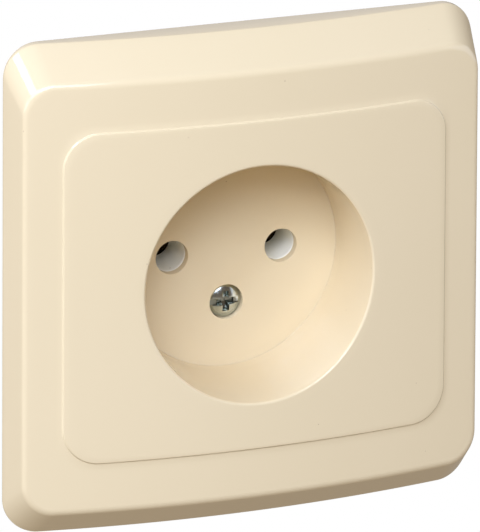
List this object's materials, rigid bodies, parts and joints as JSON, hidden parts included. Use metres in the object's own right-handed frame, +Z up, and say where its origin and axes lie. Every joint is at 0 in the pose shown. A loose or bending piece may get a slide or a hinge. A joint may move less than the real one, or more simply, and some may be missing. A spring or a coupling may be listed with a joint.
{
  "type": "flush wall socket",
  "caption": "Flush-mounted single wall socket for round-pin plugs without earth, with a square bevelled cover, ceramic base, screw terminals and spreading claws.",
  "frame": {"origin": "centre of the cover's back plane, on the wall surface", "axes": "+X to the right and +Z up as seen from the room, -Y out of the wall into the room"},
  "size_m": [0.081, 0.0424, 0.081],
  "materials": {
    "cover_plastic": "gloss",
    "porcelain": "satin",
    "board": "matte",
    "nylon": "satin",
    "zinc_steel": "satin",
    "contact_brass": "satin",
    "spring_steel": "satin"
  },
  "bodies": {
    "socket_body": {"support_plate": "zinc_steel", "insulator_base": "porcelain", "rear_plate": "board", "cover_nut": "zinc_steel", "body_rivets": "zinc_steel", "contact_left": "contact_brass", "contact_right": "contact_brass", "contact_spring_left": "spring_steel", "contact_spring_right": "spring_steel"},
    "cover": {"cover": "cover_plastic"},
    "screw_retainer": {"screw_retainer": "nylon"},
    "cover_screw": {"cover_screw": "zinc_steel"},
    "terminal_clamp_left": {"terminal_clamp_left": "zinc_steel"},
    "terminal_screw_left": {"terminal_screw_left": "zinc_steel"},
    "claw_screw_left": {"claw_screw_left": "zinc_steel"},
    "claw_nut_left": {"claw_nut_left": "zinc_steel"},
    "claw_left": {"claw_left": "zinc_steel"},
    "terminal_clamp_right": {"terminal_clamp_right": "zinc_steel"},
    "terminal_screw_right": {"terminal_screw_right": "zinc_steel"},
    "claw_screw_right": {"claw_screw_right": "zinc_steel"},
    "claw_nut_right": {"claw_nut_right": "zinc_steel"},
    "claw_right": {"claw_right": "zinc_steel"}
  },
  "joints": [
    {"name": "cover_lift", "type": "slide", "parent": "socket_body", "child": "cover", "axis": [0, -1, 0], "range_m": [0, 0.04]},
    {"name": "retainer_lift", "type": "slide", "parent": "cover", "child": "screw_retainer", "axis": [0, -1, 0], "range_m": [0, 0.005]},
    {"name": "cover_screw_spin", "type": "hinge", "parent": "screw_retainer", "child": "cover_screw", "pos_m": [0, 0.0076, -0.0085], "axis": [0, -1, 0], "range_deg": [0, 3600]},
    {"name": "terminal_clamp_lift_left", "type": "slide", "parent": "socket_body", "child": "terminal_clamp_left", "axis": [0, -1, 0], "range_m": [0, 0.0024]},
    {"name": "terminal_screw_spin_left", "type": "hinge", "parent": "terminal_clamp_left", "child": "terminal_screw_left", "pos_m": [-0.0094, 0.0195, 0.0116], "axis": [0, -1, 0], "range_deg": [0, 1440]},
    {"name": "claw_screw_spin_left", "type": "hinge", "parent": "socket_body", "child": "claw_screw_left", "pos_m": [-0.0248, 0, 0], "axis": [0, 1, 0], "range_deg": [0, 4200]},
    {"name": "claw_nut_travel_left", "type": "slide", "parent": "socket_body", "child": "claw_nut_left", "axis": [0, -1, 0], "range_m": [0, 0.007]},
    {"name": "claw_swing_left", "type": "hinge", "parent": "claw_nut_left", "child": "claw_left", "pos_m": [-0.0248, 0.022, 0], "axis": [0, 0, -1], "range_deg": [0, 30]},
    {"name": "terminal_clamp_lift_right", "type": "slide", "parent": "socket_body", "child": "terminal_clamp_right", "axis": [0, -1, 0], "range_m": [0, 0.0024]},
    {"name": "terminal_screw_spin_right", "type": "hinge", "parent": "terminal_clamp_right", "child": "terminal_screw_right", "pos_m": [0.0094, 0.0195, 0.0116], "axis": [0, -1, 0], "range_deg": [0, 1440]},
    {"name": "claw_screw_spin_right", "type": "hinge", "parent": "socket_body", "child": "claw_screw_right", "pos_m": [0.0248, 0, 0], "axis": [0, 1, 0], "range_deg": [0, 4200]},
    {"name": "claw_nut_travel_right", "type": "slide", "parent": "socket_body", "child": "claw_nut_right", "axis": [0, -1, 0], "range_m": [0, 0.007]},
    {"name": "claw_swing_right", "type": "hinge", "parent": "claw_nut_right", "child": "claw_right", "pos_m": [0.0248, 0.022, 0], "axis": [0, 0, 1], "range_deg": [0, 30]}
  ],
  "couplings": [
    {"joint": "cover_screw_spin", "follows": "retainer_lift", "rad_per_m": 12566},
    {"joint": "terminal_screw_spin_left", "follows": "terminal_clamp_lift_left", "rad_per_m": 10472},
    {"joint": "claw_screw_spin_left", "follows": "claw_nut_travel_left", "rad_per_m": 10472},
    {"joint": "claw_swing_left", "follows": "claw_nut_travel_left", "rad_per_m": 74.8},
    {"joint": "terminal_screw_spin_right", "follows": "terminal_clamp_lift_right", "rad_per_m": 10472},
    {"joint": "claw_screw_spin_right", "follows": "claw_nut_travel_right", "rad_per_m": 10472},
    {"joint": "claw_swing_right", "follows": "claw_nut_travel_right", "rad_per_m": 74.8}
  ]
}
